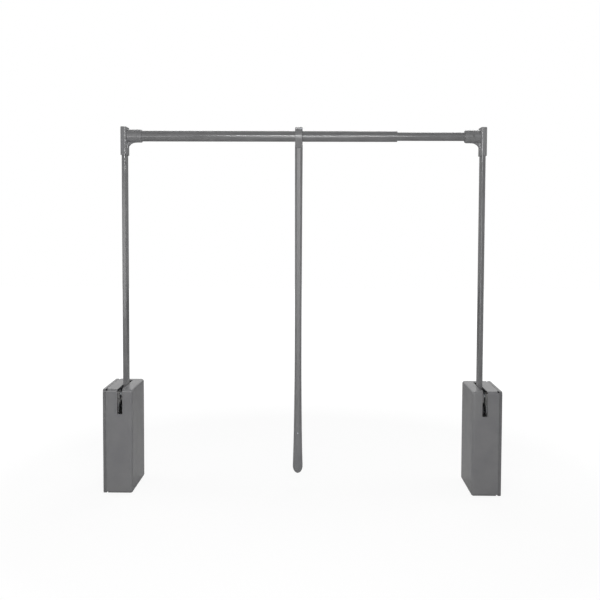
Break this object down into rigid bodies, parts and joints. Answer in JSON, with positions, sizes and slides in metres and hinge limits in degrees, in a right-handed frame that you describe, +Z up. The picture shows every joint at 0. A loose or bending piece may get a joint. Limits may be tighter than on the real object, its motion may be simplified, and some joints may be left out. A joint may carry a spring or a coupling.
{
  "type": "pull down closet rod",
  "caption": "Wardrobe lift: a telescopic hanging rail on two gas sprung swing arms in side boxes, with a long hanging pull handle.",
  "frame": {"origin": "at the foot of the boxes, midway between their outer faces, in the plane of the arms and the rail", "axes": "+X along the rail to the right box, +Y to the back of the wardrobe, +Z up"},
  "size_m": [0.907, 0.14, 0.841],
  "materials": {
    "grey_abs": "fine moulded grain, satin",
    "dark_grey_abs": "fine moulded grain, satin",
    "grey_nylon": "moulded glass-filled nylon",
    "grey_coat": "powder coat, half gloss",
    "zinc_steel": "bright zinc plate",
    "chrome": "polished",
    "black_coat": "black paint, half gloss",
    "black_plastic": "moulded nylon",
    "white_nylon": "turned nylon",
    "black_rubber": "matt"
  },
  "bodies": {
    "left_box": {"left_wall_plate": "dark_grey_abs", "left_cover": "grey_abs", "left_frame": "zinc_steel", "left_frame_screws": "zinc_steel", "left_pivot_pin": "zinc_steel", "left_pivot_circlip": "zinc_steel", "left_pivot_spacer": "zinc_steel", "left_strut_gland": "black_plastic", "left_strut_cylinder": "black_coat", "left_strut_foot": "black_plastic", "left_anchor_pin": "zinc_steel", "left_up_stop": "black_rubber", "left_down_stop_pin": "zinc_steel", "left_down_stop_sleeve": "black_rubber"},
    "swing_left": {"left_arm": "grey_coat", "left_arm_bush": "white_nylon", "left_lever": "zinc_steel", "left_lever_rivets": "zinc_steel", "left_arm_shoe": "grey_nylon", "left_crank_pin": "zinc_steel", "left_corner": "grey_abs", "left_corner_screws": "zinc_steel", "rail_outer_tube": "grey_coat", "rail_guide_bush": "grey_abs"},
    "left_strut_rod": {"left_strut_rod": "chrome", "left_strut_yoke": "grey_nylon"},
    "swing_right": {"right_arm": "grey_coat", "right_arm_bush": "white_nylon", "right_lever": "zinc_steel", "right_lever_rivets": "zinc_steel", "right_arm_shoe": "grey_nylon", "right_crank_pin": "zinc_steel", "right_corner": "grey_abs", "right_corner_screws": "zinc_steel", "rail_inner_tube": "grey_coat", "rail_end_plug": "black_plastic", "rail_reducer": "grey_abs"},
    "right_box": {"right_wall_plate": "dark_grey_abs", "right_cover": "grey_abs", "right_frame": "zinc_steel", "right_frame_screws": "zinc_steel", "right_pivot_pin": "zinc_steel", "right_pivot_circlip": "zinc_steel", "right_pivot_spacer": "zinc_steel", "right_strut_gland": "black_plastic", "right_strut_cylinder": "black_coat", "right_strut_foot": "black_plastic", "right_anchor_pin": "zinc_steel", "right_up_stop": "black_rubber", "right_down_stop_pin": "zinc_steel", "right_down_stop_sleeve": "black_rubber"},
    "right_strut_rod": {"right_strut_rod": "chrome", "right_strut_yoke": "grey_nylon"},
    "clip_liner": {"clip_liner": "black_plastic"},
    "pull_handle": {"clip_front": "grey_abs", "clip_rear": "grey_abs", "clip_screws": "zinc_steel", "handle_bar": "grey_coat", "handle_grip": "grey_abs", "handle_pin": "zinc_steel"}
  },
  "joints": [
    {"name": "arm_swing", "type": "hinge", "parent": "left_box", "child": "swing_left", "pos_m": [-0.4148, 0, 0.2], "axis": [1, 0, 0], "range_deg": [0, 90], "stiffness_Nm_per_rad": 7, "springref_deg": -114.59},
    {"name": "left_strut_slide", "type": "slide", "parent": "left_box", "child": "left_strut_rod", "axis": [0, 0, 1], "range_m": [-0.0397, 0]},
    {"name": "rail_width", "type": "slide", "parent": "swing_left", "child": "swing_right", "axis": [1, 0, 0], "range_m": [-0.077, 0.243]},
    {"name": "right_box_turn", "type": "hinge", "parent": "swing_right", "child": "right_box", "pos_m": [0.4148, 0, 0.2], "axis": [1, 0, 0], "range_deg": [-90, 0]},
    {"name": "right_strut_slide", "type": "slide", "parent": "right_box", "child": "right_strut_rod", "axis": [0, 0, 1], "range_m": [-0.0397, 0]},
    {"name": "handle_slide", "type": "slide", "parent": "swing_left", "child": "clip_liner", "axis": [1, 0, 0], "range_m": [-0.35, 0.21]},
    {"name": "handle_swing", "type": "hinge", "parent": "clip_liner", "child": "pull_handle", "pos_m": [-0.01, 0, 0.8205], "axis": [1, 0, 0], "range_deg": [-100, 20]}
  ],
  "couplings": [
    {"joint": "right_box_turn", "follows": "arm_swing", "ratio": -1},
    {"joint": "left_strut_slide", "follows": "arm_swing", "m_per_rad": -0.025209},
    {"joint": "right_strut_slide", "follows": "arm_swing", "m_per_rad": -0.025209}
  ]
}
